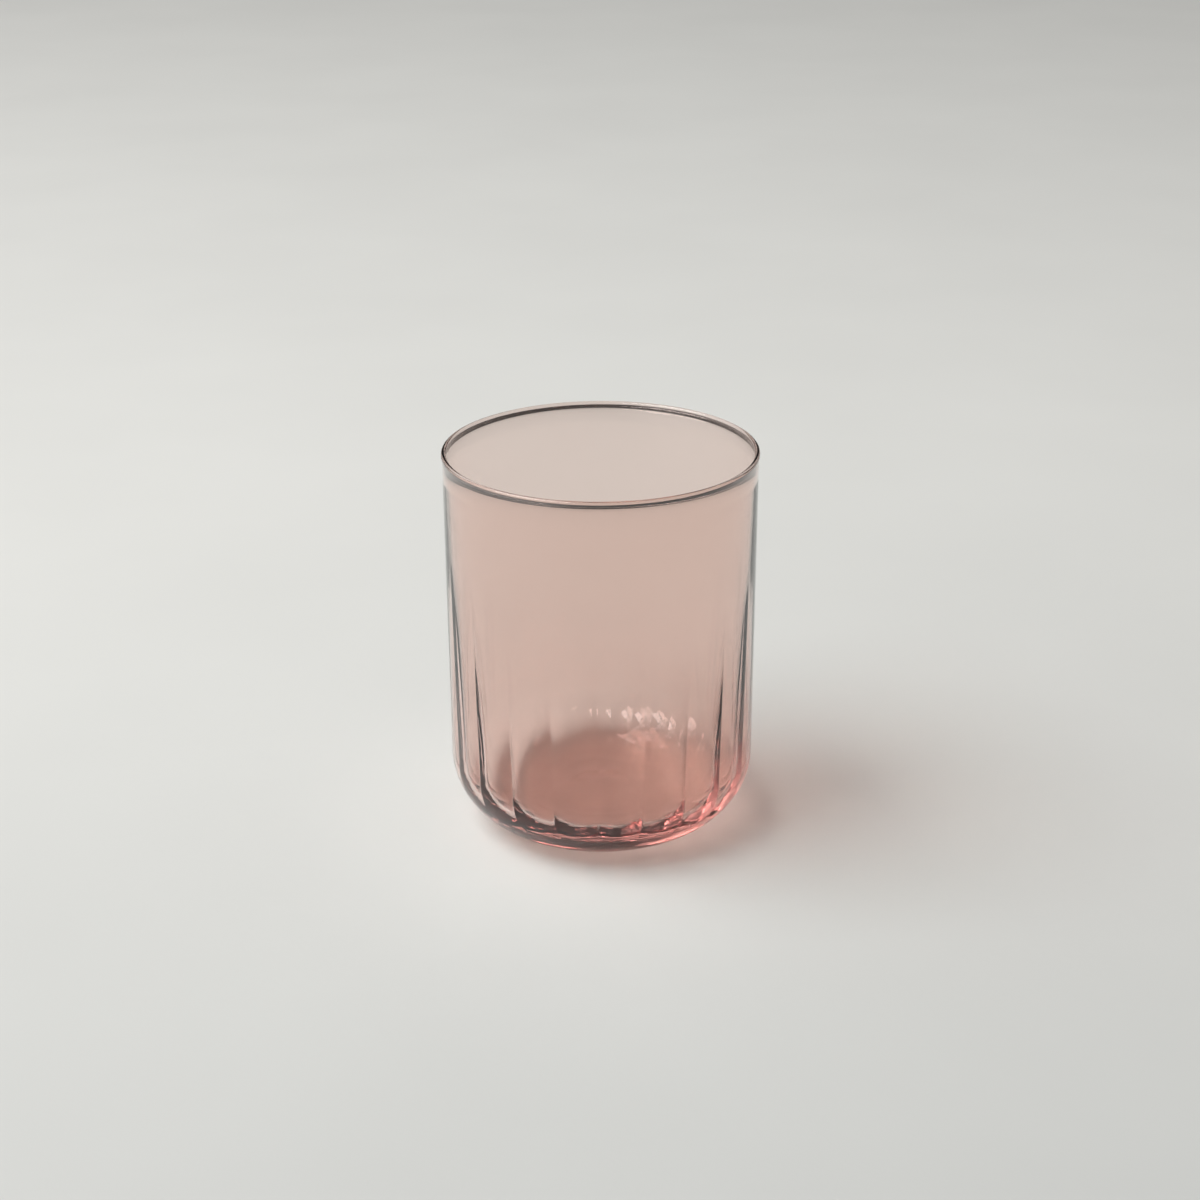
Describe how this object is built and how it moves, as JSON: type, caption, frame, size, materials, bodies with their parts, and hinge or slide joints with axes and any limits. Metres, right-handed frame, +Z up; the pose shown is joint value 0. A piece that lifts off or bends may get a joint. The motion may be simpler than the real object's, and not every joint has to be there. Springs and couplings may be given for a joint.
{
  "type": "juice glass",
  "caption": "Straight drinking glass in pale pink glass, with a rounded lower corner, a thick base and fine upright ribs inside.",
  "frame": {"origin": "middle of the foot ring, on the plane that the glass stands on", "axes": "+Z up along the glass's axis, out of the mouth; +X and +Y across, with a rib on +X and on -Y"},
  "size_m": [0.08, 0.08, 0.101],
  "materials": {
    "pink_glass": "fire-polished pressed soda-lime glass, tinted pink through its thickness"
  },
  "bodies": {
    "root": {"tumbler": "pink_glass"}
  },
  "joints": []
}
